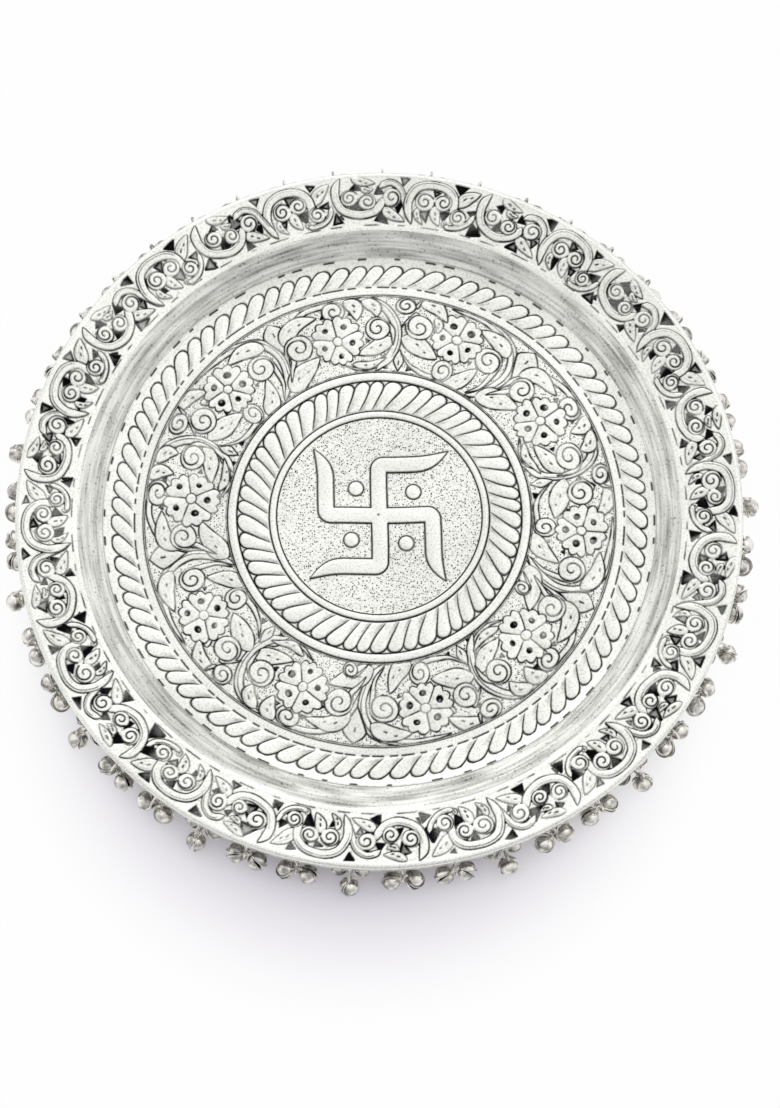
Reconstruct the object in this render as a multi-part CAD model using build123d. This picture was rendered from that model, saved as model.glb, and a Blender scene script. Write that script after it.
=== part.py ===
from build123d import *
from math import asin, cos, degrees, hypot, inf, radians, sin, sqrt
import os

# Puja thali: a chased silver dish on a foot ring, with bunches of bells on rings through its lip.
# Millimetres, +Z up. The origin is the middle of the table face under the foot ring.

# Dish
SHEET = 1.0
RIM_DIAMETER = 305.0
RIM_WIDTH = 25.5
COVE_WIDTH = 14.0
COVE_RISE = 8.5
RIM_RISE = 5.5
LIP_HEIGHT = 6.0
COVE_RADIUS = 14.0
SHOULDER_RADIUS = 8.0
EDGE_RADIUS = 1.6

# Raised work on the floor
RELIEF = 0.7
RELIEF_ROOT = 0.4
INNER_RING_DIAMETER = 89.9
INNER_RING_WIDTH = 3.7
OUTER_RING_DIAMETER = 124.8
OUTER_RING_WIDTH = 4.2
SWASTIKA_REACH = 26.0
SWASTIKA_BAR = 7.0
SWASTIKA_CORNER = 5.5
SWASTIKA_HOOK = 21.0
SWASTIKA_TIP = 3.2
DOT_DIAMETER = 6.6
DOT_SPACING = 23.6

# Foot ring
FOOT_INSET = 18.0
FOOT_WALL = 1.6

# Bunches of bells
BUNCH_COUNT = 45
BUNCH_PHASE = 1.6
INWARD_FROM_ANGLE = 12.0
OUTWARD_EVERY = 3
HOLE_DIAMETER = 2.6
HOLE_TO_EDGE = 2.6
RING_DIAMETER = 9.4
RING_WIRE = 1.0
DOME_DIAMETER = 7.3
BRIM_DIAMETER = 8.6
BRIM_THICKNESS = 0.45
BELL_WALL = 0.5
CUP_LEAN = 8.0
BELL_GAP = 0.3
BELL_NECK = 0.5
NECK_BITE = 1.0
NECK_DIAMETER = 1.8
EYE_DIAMETER = 2.0
EYE_WIRE = 0.6
EYE_GAP = 0.9
EYE_SLACK = 0.1
PELLET_DIAMETER = 2.6
PELLET_GAP = 0.15
PELLET_STEP = 0.02
TABLE_CLEARANCE = 0.9
SLIT_TURNS = (0, 50, 95, 140)

rim_radius = RIM_DIAMETER / 2
cove_top_radius = rim_radius - RIM_WIDTH
floor_radius = cove_top_radius - COVE_WIDTH
foot_radius = floor_radius - FOOT_INSET
ring_radius = RING_DIAMETER / 2
dome_radius = DOME_DIAMETER / 2
hollow_radius = dome_radius - BELL_WALL
bell_radius = BRIM_DIAMETER / 2
eye_radius = EYE_DIAMETER / 2

# The two cups of a bell lean apart from its top, so its brims reach farthest out at the foot.
lean = radians(CUP_LEAN)
foot_side = BRIM_DIAMETER * sin(lean) + BRIM_THICKNESS * cos(lean)
foot_drop = BRIM_DIAMETER * cos(lean) - BRIM_THICKNESS * sin(lean) - bell_radius
bell_reach = hypot(foot_side, foot_drop)

# Three bells of a bunch touch in a triangle under the ring, and hang by this length from its wire.
bell_pitch = 2 * bell_reach + BELL_GAP
bell_side = bell_pitch / 2
bell_back = bell_pitch * sqrt(3) / 6
bell_front = bell_pitch * sqrt(3) / 3
eye_to_bell = eye_radius + BELL_NECK + bell_radius
hang = EYE_SLACK + eye_to_bell

# The lip stands just high enough for a swinging bunch to clear the table.
front_drop = ring_radius + sqrt((ring_radius + hang) ** 2 - bell_front ** 2)
swing_reach = sqrt(front_drop ** 2 + bell_front ** 2) + bell_reach
hole_height = swing_reach + TABLE_CLEARANCE
lip_edge = hole_height - HOLE_TO_EDGE
rim_top = lip_edge + LIP_HEIGHT
cove_top = rim_top - RIM_RISE
floor_top = cove_top - COVE_RISE
foot_height = floor_top - SHEET


def shifted(points, distance):
    """Move an open outline sideways by a distance, with its corners mitred."""
    normals = []
    for start, end in zip(points, points[1:]):
        along = (Vector(*end) - Vector(*start)).normalized()
        normals.append(Vector(along.Y, -along.X))
    moved = []
    for index, point in enumerate(points):
        before = normals[max(index - 1, 0)]
        after = normals[min(index, len(normals) - 1)]
        share = distance / (1 + before.dot(after))
        moved.append(Vector(*point) + (before + after) * share)
    return moved


def make_dish_blank():
    """Turn the bent sheet: floor, cove, rim and turned-down lip."""
    upper = [
        (0, floor_top),
        (floor_radius, floor_top),
        (cove_top_radius, cove_top),
        (rim_radius, rim_top),
        (rim_radius, lip_edge),
    ]
    lower = shifted(upper, SHEET)
    top_line = FilletPolyline(*upper, radius=[COVE_RADIUS, SHOULDER_RADIUS, EDGE_RADIUS])
    bottom_radii = [COVE_RADIUS + SHEET, SHOULDER_RADIUS - SHEET, EDGE_RADIUS - SHEET]
    bottom_line = FilletPolyline(*lower, radius=bottom_radii)
    axis_line = Line(top_line @ 0, bottom_line @ 0)
    lip_line = Line(top_line @ 1, bottom_line @ 1)
    section = make_face(top_line.edges() + bottom_line.edges() + [axis_line, lip_line])
    return revolve(Plane.XZ * section, axis=Axis.Z)


def make_plain_ring(diameter, width):
    """A plain raised ring on the floor, half round, with its root in the sheet."""
    section = Pos(diameter / 2, floor_top) * Ellipse(width / 2, RELIEF)
    return revolve(Plane.XZ * section, axis=Axis.Z)


def make_swastika_arm():
    """One arm: up from the centre, round the corner and out to a flared point."""
    half = SWASTIKA_BAR / 2
    inner = SWASTIKA_REACH - SWASTIKA_BAR
    tip = (SWASTIKA_REACH + SWASTIKA_TIP / 2, SWASTIKA_REACH + SWASTIKA_TIP)
    flare_top = (SWASTIKA_HOOK, SWASTIKA_REACH)
    flare_under = (SWASTIKA_HOOK, inner)
    side_line = Line((-half, -half), (-half, SWASTIKA_REACH - SWASTIKA_CORNER))
    corner = RadiusArc(side_line @ 1, (SWASTIKA_CORNER - half, SWASTIKA_REACH), SWASTIKA_CORNER)
    top_line = Line(corner @ 1, flare_top)
    upper_flare = TangentArc(flare_top, tip, tangent=(1, 0))
    lower_flare = TangentArc(flare_under, tip, tangent=(1, 0))
    under_line = Line(flare_under, (half, inner))
    inner_line = Line((half, inner), (half, -half))
    root_line = Line((half, -half), (-half, -half))
    outline = [side_line, corner, top_line, upper_flare, lower_flare, under_line, inner_line, root_line]
    return make_face(outline)


def make_medallion():
    """The swastika and its four dots, raised from the floor."""
    arm = make_swastika_arm()
    figure = arm
    for turn in (90, 180, 270):
        figure = figure + Rot(0, 0, turn) * arm
    dot_places = GridLocations(DOT_SPACING, DOT_SPACING, 2, 2)
    dots = Sketch() + [place * Circle(DOT_DIAMETER / 2) for place in dot_places]
    base = Pos(0, 0, floor_top - RELIEF_ROOT)
    height = RELIEF_ROOT + RELIEF
    return extrude(base * figure, amount=height), extrude(base * dots, amount=height)


def bunch_angles():
    """The bunches' angles round the rim, from +X towards +Y."""
    return [BUNCH_PHASE + 360 * index / BUNCH_COUNT for index in range(BUNCH_COUNT)]


def bunch_place(angle):
    """A bunch's own frame: the middle of its hole in the lip, with X pointing outwards."""
    return Rot(0, 0, angle) * Pos(rim_radius - SHEET / 2, 0, hole_height)


def make_dish():
    """The whole dish: blank, raised work and the ring holes in its lip."""
    swastika, dots = make_medallion()
    inner_ring = make_plain_ring(INNER_RING_DIAMETER, INNER_RING_WIDTH)
    outer_ring = make_plain_ring(OUTER_RING_DIAMETER, OUTER_RING_WIDTH)
    dish = make_dish_blank() + [inner_ring, outer_ring, swastika, dots]
    drill = Rot(0, 90, 0) * Cylinder(HOLE_DIAMETER / 2, 3 * SHEET)
    return dish - [bunch_place(angle) * drill for angle in bunch_angles()]


def make_foot_ring():
    """A band soldered on edge under the floor."""
    section = Pos(foot_radius - FOOT_WALL / 2, foot_height / 2) * Rectangle(FOOT_WALL, foot_height)
    return revolve(Plane.XZ * section, axis=Axis.Z)


def make_cup():
    """One stamped half of a bell: a hollow dome with a flat brim, leaning out from the bell's top."""
    brim_from = degrees(asin(BRIM_THICKNESS / dome_radius))
    hollow = CenterArc((0, 0), hollow_radius, 0, 90)
    dome = CenterArc((0, 0), dome_radius, brim_from, 90 - brim_from)
    wall_end = Line(hollow @ 1, dome @ 1)
    brim_edge = (bell_radius, BRIM_THICKNESS)
    brim = Polyline(dome @ 0, brim_edge, (bell_radius, 0), hollow @ 0)
    section = make_face([hollow, wall_end, dome] + brim.edges())
    upright = revolve(section, axis=Axis.Y)
    return Pos(0, 0, bell_radius) * Rot(CUP_LEAN, 0, 0) * Pos(0, 0, -bell_radius) * upright


def make_bell(slit_turn):
    """A split bell of two cups with its neck and eye, hanging down from the middle of the eye."""
    middle = Pos(0, 0, -eye_to_bell) * Rot(0, 0, slit_turn)
    cup = make_cup()
    neck_height = BELL_NECK + NECK_BITE
    neck = Pos(0, 0, bell_radius + BELL_NECK - neck_height / 2) * Cylinder(NECK_DIAMETER / 2, neck_height)
    eye = Rot(90, 0, 0) * Torus(eye_radius, EYE_WIRE / 2)
    return middle * (neck + cup + Rot(0, 0, 180) * cup) + eye


def wall_distance(point):
    """How far a point in a bell's hollow lies from the nearer cup, in the frame of the bell's slit."""
    best = inf
    for side in (1, -1):
        across, up = side * point.Y, point.Z - bell_radius
        across, up = across * cos(lean) + up * sin(lean), up * cos(lean) - across * sin(lean) + bell_radius
        from_axis = hypot(point.X, up)
        if across > 0:
            best = min(best, hollow_radius - hypot(from_axis, across))
        else:
            best = min(best, hypot(hollow_radius - from_axis, across))
    return best


def pellet_drop(place, slit_turn):
    """How far below its bell's middle a pellet comes to lie."""
    slit = Plane(place * Rot(0, 0, slit_turn))
    down = Vector(-slit.x_dir.Z, -slit.y_dir.Z, -slit.z_dir.Z)
    drop = 0
    while wall_distance(down * (drop + PELLET_STEP)) > PELLET_DIAMETER / 2 + PELLET_GAP:
        drop += PELLET_STEP
    return drop


def bell_stations():
    """Each bell's eye angle on the ring, and its middle sideways and outwards from the hole."""
    level_reach = sqrt(hang ** 2 - bell_side ** 2)
    back_angle = -degrees(asin(bell_back / (ring_radius + level_reach)))
    front_angle = degrees(asin(bell_front / (ring_radius + hang)))
    half_step = degrees((EYE_WIRE + EYE_GAP) / ring_radius / 2)
    return [
        (back_angle + half_step, -bell_back, bell_side),
        (back_angle - half_step, -bell_back, -bell_side),
        (front_angle, bell_front, 0),
    ]


def bell_place(station, way):
    """A bell's place in the bunch's frame, and its middle; way is 1 outwards or -1 inwards."""
    eye_angle, outwards, sideways = station
    turn = radians(eye_angle)
    wire_out = ring_radius * sin(turn)
    wire_up = -ring_radius - ring_radius * cos(turn)
    drop = sqrt(hang ** 2 - sideways ** 2 - (outwards - wire_out) ** 2)
    wire_point = Vector(way * wire_out, 0, wire_up)
    middle = Vector(way * outwards, sideways, wire_up - drop)
    down = (middle - wire_point).normalized()
    wire_way = Vector(cos(turn), 0, way * sin(turn))
    eye_axis = wire_way - down * wire_way.dot(down)
    eye_middle = wire_point + down * EYE_SLACK
    return Location(Plane(eye_middle, x_dir=down.cross(eye_axis), z_dir=-down)), middle


def make_bunch(bells, index, angle):
    """One jump ring with its three bells and their pellets, as separate solids."""
    far_side = INWARD_FROM_ANGLE < angle % 360 < 180 - INWARD_FROM_ANGLE
    way = 1 if not far_side and index % OUTWARD_EVERY == 0 else -1
    ring = Pos(0, 0, -ring_radius) * Rot(90, 0, 0) * Torus(ring_radius, RING_WIRE / 2)
    pellet = Sphere(PELLET_DIAMETER / 2)
    solids = [ring.solid()]
    for number, station in enumerate(bell_stations()):
        place, middle = bell_place(station, way)
        kind = (index + 2 * number) % len(bells)
        drop = pellet_drop(place, SLIT_TURNS[kind])
        solids.append((place * bells[kind]).solid())
        solids.append((Pos(middle.X, middle.Y, middle.Z - drop) * pellet).solid())
    return bunch_place(angle) * Compound(children=solids)


def main():
    """Build every piece and write one file for each node."""
    os.makedirs("parts", exist_ok=True)
    export_step(make_dish(), "parts/thali_dish.step")
    export_step(make_foot_ring(), "parts/foot_ring.step")
    bells = [make_bell(turn) for turn in SLIT_TURNS]
    for index, angle in enumerate(bunch_angles()):
        export_step(make_bunch(bells, index, angle), f"parts/bell_cluster_{index + 1:02d}.step")


main()
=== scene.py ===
import math

import bpy
import numpy as np
from mathutils import Matrix, Vector


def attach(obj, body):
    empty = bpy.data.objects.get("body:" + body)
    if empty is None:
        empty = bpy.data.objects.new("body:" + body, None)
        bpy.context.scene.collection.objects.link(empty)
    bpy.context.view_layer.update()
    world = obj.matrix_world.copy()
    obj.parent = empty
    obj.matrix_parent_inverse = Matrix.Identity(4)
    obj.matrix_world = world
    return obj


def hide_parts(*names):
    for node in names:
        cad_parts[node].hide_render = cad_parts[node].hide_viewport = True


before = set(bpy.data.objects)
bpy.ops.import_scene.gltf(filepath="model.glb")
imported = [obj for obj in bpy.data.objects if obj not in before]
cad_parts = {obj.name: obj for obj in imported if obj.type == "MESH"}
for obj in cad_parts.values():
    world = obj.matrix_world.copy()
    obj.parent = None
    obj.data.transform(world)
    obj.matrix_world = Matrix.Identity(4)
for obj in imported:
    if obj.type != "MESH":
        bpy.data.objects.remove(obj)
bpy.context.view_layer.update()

MM = 0.001
TAU = 2 * math.pi

# The raised sheet, in millimetres
SHEET = 1.0
FLOOR_RADIUS, COVE_TOP_RADIUS, RIM_RADIUS = 113.0, 127.0, 152.5
FLOOR_TOP, COVE_TOP, RIM_TOP, LIP_EDGE = 9.618, 18.118, 23.618, 17.618
COVE_FILLET, SHOULDER_FILLET, EDGE_FILLET = 14.0, 8.0, 1.6

# The outer radius of each zone of the sheet, in millimetres
MEDALLION_EDGE, INNER_ROPE_EDGE, FLOWER_EDGE = 43.2, 64.7, 99.8
OUTER_ROPE_EDGE, COVE_EDGE, SCROLL_EDGE = 116.9, 127.2, 150.5

# How softly a chased form begins and how deep its outline is cut, in millimetres
FORM_EDGE, OUTLINE_CUT = 0.2, 0.14

# What goes round the floor and the rim, with the length in mm that a pair of scrolls is drawn to
FLOWER_REPEATS = 5
SCROLL_PAIRS, DRAWN_PAIR = 14, 68.8

# The dots among the swastika's arms, in millimetres
DOT_RADIUS = 3.3
DOTS = ((-10.0, 11.8), (14.4, 10.3), (-11.8, -10.9), (11.4, -12.4))

# The bunches of bells, in millimetres and degrees
BUNCH_COUNT, BUNCH_PHASE = 45, 1.6
FAR_FROM, FAR_TO, OUTWARD_EVERY = 12, 168, 3
HOLE_OUT, HOLE_HEIGHT, HOLE_DIAMETER = 152.0, 20.218, 2.6
DRILL_REACH, DRILL_SIDES = 2.2, 20
RING_RADIUS, RING_WIRE = 4.7, 1.0
DOME_RADIUS, HOLLOW_RADIUS, BRIM_RADIUS, BRIM_THICKNESS = 3.65, 3.15, 4.3, 0.45
CUP_LEAN = 8
NECK_RADIUS, NECK_HEIGHT = 0.9, 1.5
EYE_RADIUS, EYE_WIRE, EYE_GAP, EYE_SLACK = 1.0, 0.6, 0.9, 0.1
EYE_TO_BELL, HANG = 5.8, 5.9
BELL_SIDE, BELL_BACK, BELL_FRONT = 4.617, 2.665, 5.331
PELLET_RADIUS, PELLET_GAP, PELLET_STEP = 1.3, 0.15, 0.02
SLIT_TURNS = (0, 50, 95, 140)

# The studio, in metres and watts: each lamp's place, size and power, the floor, and the shadow on it
LAMPS = (("far window", (-0.4, 1.9, 1.5), 1.8, 5.5), ("fill", (0.9, 0.6, 1.9), 1.6, 2.0))
FLOOR_HALF = 3.0
SHADOW_MIDDLE, SHADOW_CORE, SHADOW_EDGE = (-0.008, -0.06, 0), 0.085, 0.155

# The camera, in metres and degrees, with its lens and film in millimetres
AIM, LIFT, DISTANCE = (0.0045, -0.0178, 0.012), 74.0, 1.0
LENS, FILM = 77.2, 36.0

# All of a band's cells
WHOLE_BAND = slice(None)


def smooth(low, high, value):
    """Ease from 0 at low to 1 at high."""
    share = np.clip((value - low) / (high - low), 0, 1)
    return share * share * (3 - 2 * share)


def curve_through(points, steps=7):
    """Points close together on a smooth curve through a few given ones."""
    knots = np.array(points, float)
    ends = np.vstack([2 * knots[0] - knots[1], knots, 2 * knots[-1] - knots[-2]])
    share = np.linspace(0, 1, steps, endpoint=False)[:, None]
    runs = []
    for index in range(len(knots) - 1):
        a, b, c, d = ends[index:index + 4]
        bend = 2 * a - 5 * b + 4 * c - d
        turn = 3 * b - a - 3 * c + d
        runs.append(0.5 * (2 * b + (c - a) * share + bend * share ** 2 + turn * share ** 3))
    return np.vstack(runs + [knots[-1:]])


def nearest(s, t, line):
    """Each grid point's distance to a line, how far along the nearest spot is, and on which side."""
    best = np.full(np.broadcast(s, t).shape, 1e9)
    along = np.zeros_like(best)
    side = np.ones_like(best)
    runs = len(line) - 1
    for index in range(runs):
        step = line[index + 1] - line[index]
        from_s, from_t = s - line[index][0], t - line[index][1]
        share = np.clip((from_s * step[0] + from_t * step[1]) / (step @ step + 1e-9), 0, 1)
        away = np.hypot(from_s - share * step[0], from_t - share * step[1])
        closer = away < best
        best = np.where(closer, away, best)
        along = np.where(closer, (index + share) / runs, along)
        side = np.where(closer, np.sign(step[0] * from_t - step[1] * from_s), side)
    return best, along, side


class Band:
    """A ring of the sheet unrolled flat: s runs clockwise on its middle radius and t outwards, in mm."""

    def __init__(self, inner, outer, columns, rows, zero_angle=0.0, wobble=0.3, seed=1, line=0.34):
        self.inner, self.outer, self.line = inner, outer, line
        self.middle = (inner + outer) / 2
        self.length = TAU * self.middle
        self.columns = columns
        self.step = self.length / columns
        self.radii = np.linspace(inner, outer, rows + 1)
        self.t = self.radii - inner
        self.turn = TAU * np.arange(columns) / columns
        self.angles = math.radians(zero_angle) - self.turn
        shape = (rows + 1, columns)
        self.height = np.zeros(shape)
        # The dark on the sheet: oxide in chased lines and hollows, and painted shade on one side of leaves
        # and rope lobes
        self.patina = np.zeros(shape)
        self.ground = np.ones(shape)
        chance = np.random.default_rng(seed)
        self.drift = np.zeros((2,) + shape)
        for waves in (5, 11, 23, 37):
            for way in range(2):
                phase, slant = chance.uniform(0, TAU), chance.uniform(-0.12, 0.12)
                self.drift[way] += wobble / 2.5 * np.sin(waves * self.turn + slant * self.t[:, None] + phase)

    def window(self, low, high):
        """The grid cells of a patch, with their s and t carried off a little as a hand does."""
        columns = np.arange(math.floor(low[0] / self.step), math.ceil(high[0] / self.step) + 1)
        rows = np.flatnonzero((self.t >= low[1]) & (self.t <= high[1]))
        cells = np.ix_(rows, columns % self.columns)
        s = columns[None, :] * self.step + self.drift[0][cells]
        t = self.t[rows][:, None] + self.drift[1][cells]
        return cells, s, t

    def cover(self, cells, inside_by, height, shade, ink=1.0, line=None):
        """Lay a raised form over what is there, with a chased line along its edge."""
        inside = smooth(-FORM_EDGE, FORM_EDGE, inside_by)
        groove = np.exp(-(inside_by / (line or self.line)) ** 2)
        self.height[cells] = self.height[cells] * (1 - inside) + height * inside - OUTLINE_CUT * groove
        under = self.patina[cells] * (1 - inside) + shade * inside
        self.patina[cells] = np.maximum(under, ink * groove)
        self.ground[cells] *= 1 - inside

    def score(self, cells, away, line, ink, cut):
        """Cut a dark chased line into what is there."""
        groove = np.exp(-(away / line) ** 2)
        self.height[cells] -= cut * groove
        self.patina[cells] = np.maximum(self.patina[cells], ink * groove)

    def wear(self, seed, least):
        """Let the dark of the lines come and go along the band, as rubbing leaves it."""
        chance = np.random.default_rng(seed)
        cloud = np.zeros_like(self.patina)
        for waves in (7, 13, 29, 53, 71, 97):
            slant, phase = chance.uniform(-0.35, 0.35), chance.uniform(0, TAU)
            cloud += np.sin(waves * self.turn + slant * self.t[:, None] + phase)
        self.patina *= least + (1 - least) * smooth(-1.8, 1.6, cloud)

    def spread(self, values, reach):
        """Smooth the band's values over a few millimetres, round the ring and across it."""
        for axis, step, mode in ((1, self.step, "wrap"), (0, self.t[1], "edge")):
            count = math.ceil(2.5 * reach / step)
            weights = np.exp(-0.5 * (np.arange(-count, count + 1) * step / reach) ** 2)
            margins = [(0, 0), (0, 0)]
            margins[axis] = (count, count)
            padded = np.pad(values, margins, mode)
            places = np.arange(values.shape[axis])
            values = sum(weight * padded.take(places + shift, axis) for shift, weight in enumerate(weights))
            values = values / weights.sum()
        return values

    def blacken_gaps(self, reach, low, high, ink, deep, echo):
        """Sink and blacken the ground where forms crowd it, and score a faint line round each form."""
        crowded = self.spread(1 - self.ground, reach)
        gap = smooth(low, high, crowded) * self.ground
        self.height -= deep * gap
        line = echo * np.exp(-((crowded - 0.62 * low) / 0.05) ** 2) * self.ground
        self.patina = np.maximum(self.patina, np.maximum(ink * gap, line))


def stem(band, points, width, crown=0.5, tips=(0.25, 0.15), vein=0.0, ink=0.95, aside=0.25):
    """A ribbon of vine: rounded, outlined, drawn out to a point over its tips' share of its length."""
    line = curve_through(points)
    reach = width / 2 + 1.2
    cells, s, t = band.window(line.min(0) - reach, line.max(0) + reach)
    away, along, side = nearest(s, t, line)
    half = width / 2
    for from_end, tip in ((along, tips[0]), (1 - along, tips[1])):
        half = half * np.clip(from_end / (tip + 1e-6), 0.02, 1) ** 0.6
    swell = np.sqrt(np.clip(1 - (away / half) ** 2, 0, 1))
    band.cover(cells, half - away, crown * (0.35 + 0.65 * swell), shade=0.03, ink=ink)
    if vein:
        past_ends = 2 * smooth(0.75, 0.95, along) + 2 * smooth(0.2, 0.05, along)
        band.score(cells, np.abs(side * away - aside * half) + past_ends, line=0.22, ink=vein, cut=0.06)


def curl(band, middle, radius, joint, way, crown=0.65, ink=0.95, turns=1.3, open_from=4.6):
    """A scroll's coiled end: a round swelling with a spiral line that starts beside its stem."""
    middle = np.array(middle, float)
    cells, s, t = band.window(middle - radius - 1.5, middle + radius + 1.5)
    away = np.hypot(s - middle[0], t - middle[1])
    angle = np.arctan2(t - middle[1], s - middle[0])
    entry = math.radians(joint) - way * 0.7
    past_entry = (way * (angle - entry)) % TAU
    share = np.linspace(0, 1, 40)
    reach = radius * (1.0 - 0.12 * share) - (radius * 0.88 - 0.8) * share ** 0.75
    swing = entry + way * TAU * turns * share
    spiral = np.stack([middle[0] + reach * np.cos(swing), middle[1] + reach * np.sin(swing)], 1)
    gap, along, _ = nearest(s, t, spiral)
    swell = np.sqrt(np.clip(1 - (away / radius) ** 2 * 0.8, 0, 1))
    edge = smooth(0.8, 1.2, past_entry) * smooth(open_from + 1.2, open_from, past_entry)
    band.cover(cells, radius - away, crown * (0.35 + 0.65 * swell), shade=0.02, ink=ink * edge)
    inside = smooth(-0.5, 0.0, radius - away)
    groove = np.exp(-(gap / (0.42 - 0.12 * along)) ** 2) * inside
    band.height[cells] -= 0.28 * groove
    band.patina[cells] = np.maximum(band.patina[cells], 0.96 * groove)


def scroll(band, points, middle, radius, joint, way, width, crown=0.65):
    """A ribbon that runs in along a curl's side and coils up in it."""
    middle = np.array(middle, float)
    turn = math.radians(joint)
    out = np.array([math.cos(turn), math.sin(turn)])
    ahead = way * np.array([-math.sin(turn), math.cos(turn)])
    end = middle + (radius - width / 2) * out
    run_in = [end - 0.7 * radius * ahead, end, end + 0.25 * radius * ahead]
    stem(band, points + run_in, width, crown, tips=(0.4, 0))
    curl(band, middle, radius, joint, way, crown, open_from=TAU)


def leaf(band, points, half, crown, hatch, ink=0.95):
    """A pointed leaf, fullest past its middle, with painted shade along one side and at its base, and two
    punched dashes.
    """
    line = curve_through(points)
    cells, s, t = band.window(line.min(0) - half - 1, line.max(0) + half + 1)
    away, along, side = nearest(s, t, line)
    full = half * np.sin(math.pi * np.clip(along, 0, 1) ** 0.8) ** 0.75
    span = np.hypot(*np.diff(line, axis=0).T).sum()
    past_end = np.where((along <= 0) | (along >= 1), away, 0)
    inside_by = (full - away) * 0.92 - past_end * 0.2
    across = np.clip(side * away / np.maximum(full, 0.2), -1, 1)
    swell = np.sqrt(1 - across ** 2)
    # Painted shade: grey along one side of the leaf and at its base
    shade = 0.08 * smooth(-0.2, 1.0, across) * smooth(1.0, 0.3, along) + 0.07 * smooth(0.3, 0.0, along)
    waves = np.cos(11 * across + 7 * along + 3 * points[0][0])
    streaks = (0.5 + 0.5 * waves) ** 4 * smooth(1.0, 0.7, along)
    streaks = (0.04 + 0.25 * hatch) * streaks * smooth(0.1, 0.5, along) * smooth(1.0, 0.5, np.abs(across))
    band.cover(cells, inside_by, crown * (0.25 + 0.75 * swell), shade + streaks, ink)
    for place, length, aside in ((0.42, 1.1, 0.05), (0.66, 0.5, -0.25)):
        past = np.maximum(np.abs(along - place) * span - length / 2, 0)
        band.score(cells, np.hypot((across - aside) * full, past), line=0.36, ink=0.85, cut=0.16)


def flower(band, middle, radius, turn, seed, crown=0.85):
    """Scalloped petals round a boss, each with a punched pit."""
    chance = np.random.default_rng(seed)
    middle = np.array(middle, float)
    cells, s, t = band.window(middle - radius - 1.5, middle + radius + 1.5)
    away = np.hypot(s - middle[0], t - middle[1])
    angle = np.arctan2(t - middle[1], s - middle[0]) - math.radians(turn)
    petals = 5
    share = TAU / petals
    number = np.round(angle / share).astype(int) % petals
    off = (angle + share / 2) % share - share / 2
    across = off / (share / 2)
    lengths = chance.uniform(0.94, 1.05, petals)[number]
    scallop = np.abs(np.cos(1.5 * math.pi * across))
    edge = radius * lengths * (0.87 + 0.12 * scallop - 0.06 * np.abs(across) ** 6)
    between = away * np.abs(np.sin(share / 2 - np.abs(off)))
    dome = smooth(0, 0.6 * radius, edge - away) * 0.35 + smooth(0, 0.25 * radius, between) * 0.4
    band.cover(cells, edge - away, crown * (0.35 + dome), shade=0.02)
    inner = smooth(0.9 * radius, 0.8 * radius, away - 0.1 * radius)
    band.score(cells, between + 2 * (1 - inner) * (away > radius), line=0.3, ink=0.9 * inner, cut=0.2)
    pit_size = chance.uniform(1.25, 1.7, petals)[number]
    pit_out = chance.uniform(0.53, 0.6, petals)[number] * radius
    pit_s, pit_t = away * np.cos(off) - pit_out, away * np.sin(off)
    pit = np.hypot(pit_s * 1.1, pit_t)
    hollow = smooth(pit_size + 0.25, pit_size - 0.25, pit)
    # Painted highlight: in some pits a lighter glint a little off the middle
    glint_s, glint_t = chance.uniform(-0.6, 0.6, (2, petals))[:, number]
    glint = np.exp(-(((pit_s - glint_s) / 0.62) ** 2 + ((pit_t - glint_t) / 0.62) ** 2))
    bright = chance.choice([0.0, 0.35, 0.6], petals)[number]
    band.height[cells] -= 0.55 * hollow
    band.patina[cells] = np.maximum(band.patina[cells], hollow * (0.97 - bright * glint))
    boss = 0.18 * radius
    dome = np.sqrt(np.clip(1 - (away / boss) ** 2, 0, 1))
    band.cover(cells, boss - away, crown * (0.65 + 0.45 * dome), shade=0.0, ink=0.75, line=0.28)


def many_sided(s, t, corners):
    """How far a grid point lies inside a convex outline whose corners run counter-clockwise."""
    inside_by = np.full(np.broadcast(s, t).shape, 1e9)
    for start, end in zip(corners, corners[1:] + corners[:1]):
        run, rise = end[0] - start[0], end[1] - start[1]
        size = math.hypot(run, rise)
        inside_by = np.minimum(inside_by, ((t - start[1]) * run - (s - start[0]) * rise) / size)
    return inside_by


def bud(band, middle, wide, tall, foot, crown=0.55):
    """A pointed bud standing between two stems; tall is its point's height over its broad part."""
    low = (middle[0] - wide - 1, middle[1] - foot - 1)
    high = (middle[0] + wide + 1, middle[1] + tall + 1)
    cells, s, t = band.window(low, high)
    up = (t - middle[1]) / np.where(t > middle[1], tall, foot)
    full = wide * np.where(up > 0, 1 - np.abs(up) ** 1.6, 1 - np.abs(up) ** 1.2)
    inside_by = (full - np.abs(s - middle[0])) * 0.8
    swell = np.clip(1 - np.abs(s - middle[0]) / np.maximum(full, 0.3), 0, 1)
    band.cover(cells, inside_by, crown * (0.4 + 0.6 * swell), shade=0.06)
    away = np.hypot(s - middle[0], np.maximum(np.abs(t - middle[1] + 0.5) - 0.8, 0))
    band.score(cells, away, line=0.36, ink=0.95, cut=0.16)


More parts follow.
